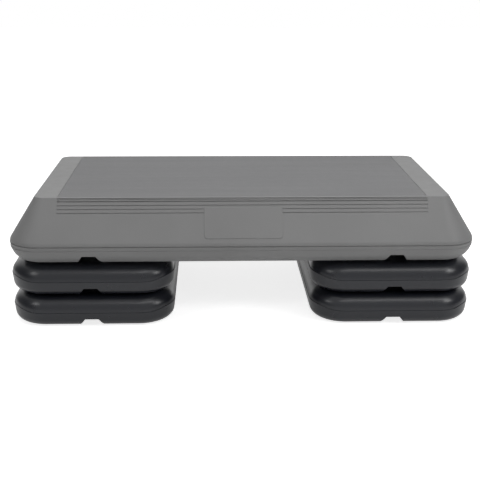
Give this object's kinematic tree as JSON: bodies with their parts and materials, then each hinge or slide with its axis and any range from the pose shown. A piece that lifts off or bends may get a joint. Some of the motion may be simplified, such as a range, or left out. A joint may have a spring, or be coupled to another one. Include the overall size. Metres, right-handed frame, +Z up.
{
  "type": "aerobic step platform",
  "caption": "Low exercise step: a rimmed, slope-sided platform with a non-slip tread mat on nesting risers stacked under each end, parted by lifting.",
  "frame": {"origin": "on the floor under the middle of the platform, at the soles of the lower risers' feet", "axes": "+X along the platform's length to the right, +Y to the rear, +Z up"},
  "size_m": [0.7292, 0.3682, 0.2032],
  "materials": {
    "platform_plastic": "mid grey blow-moulded polyethylene, fine moulded grain",
    "mat_rubber": "matte mid grey non-slip mat with lengthwise ribs",
    "riser_plastic": "charcoal blow-moulded polyethylene, satin on its shoulders",
    "foot_rubber": "matte black rubber"
  },
  "bodies": {
    "platform": {"platform_shell": "platform_plastic", "tread_mat": "mat_rubber", "platform_left_foot_front_left": "foot_rubber", "platform_left_foot_front_right": "foot_rubber", "platform_left_foot_rear_left": "foot_rubber", "platform_left_foot_rear_right": "foot_rubber", "platform_right_foot_front_left": "foot_rubber", "platform_right_foot_front_right": "foot_rubber", "platform_right_foot_rear_left": "foot_rubber", "platform_right_foot_rear_right": "foot_rubber"},
    "left_lower_riser": {"left_lower_riser": "riser_plastic", "left_lower_foot_front_left": "foot_rubber", "left_lower_foot_front_right": "foot_rubber", "left_lower_foot_rear_left": "foot_rubber", "left_lower_foot_rear_right": "foot_rubber"},
    "left_upper_riser": {"left_upper_riser": "riser_plastic", "left_upper_foot_front_left": "foot_rubber", "left_upper_foot_front_right": "foot_rubber", "left_upper_foot_rear_left": "foot_rubber", "left_upper_foot_rear_right": "foot_rubber"},
    "right_lower_riser": {"right_lower_riser": "riser_plastic", "right_lower_foot_front_left": "foot_rubber", "right_lower_foot_front_right": "foot_rubber", "right_lower_foot_rear_left": "foot_rubber", "right_lower_foot_rear_right": "foot_rubber"},
    "right_upper_riser": {"right_upper_riser": "riser_plastic", "right_upper_foot_front_left": "foot_rubber", "right_upper_foot_front_right": "foot_rubber", "right_upper_foot_rear_left": "foot_rubber", "right_upper_foot_rear_right": "foot_rubber"}
  },
  "joints": [
    {"name": "upper_riser_lift", "type": "slide", "parent": "left_lower_riser", "child": "left_upper_riser", "axis": [0, 0, 1], "range_m": [0, 0.08]},
    {"name": "platform_lift", "type": "slide", "parent": "left_upper_riser", "child": "platform", "axis": [0, 0, 1], "range_m": [0, 0.08]},
    {"name": "right_upper_riser_drop", "type": "slide", "parent": "platform", "child": "right_upper_riser", "axis": [0, 0, -1], "range_m": [0, 0.08]},
    {"name": "right_lower_riser_drop", "type": "slide", "parent": "right_upper_riser", "child": "right_lower_riser", "axis": [0, 0, -1], "range_m": [0, 0.08]}
  ],
  "couplings": [
    {"joint": "right_upper_riser_drop", "follows": "platform_lift", "ratio": 1},
    {"joint": "right_lower_riser_drop", "follows": "upper_riser_lift", "ratio": 1}
  ]
}
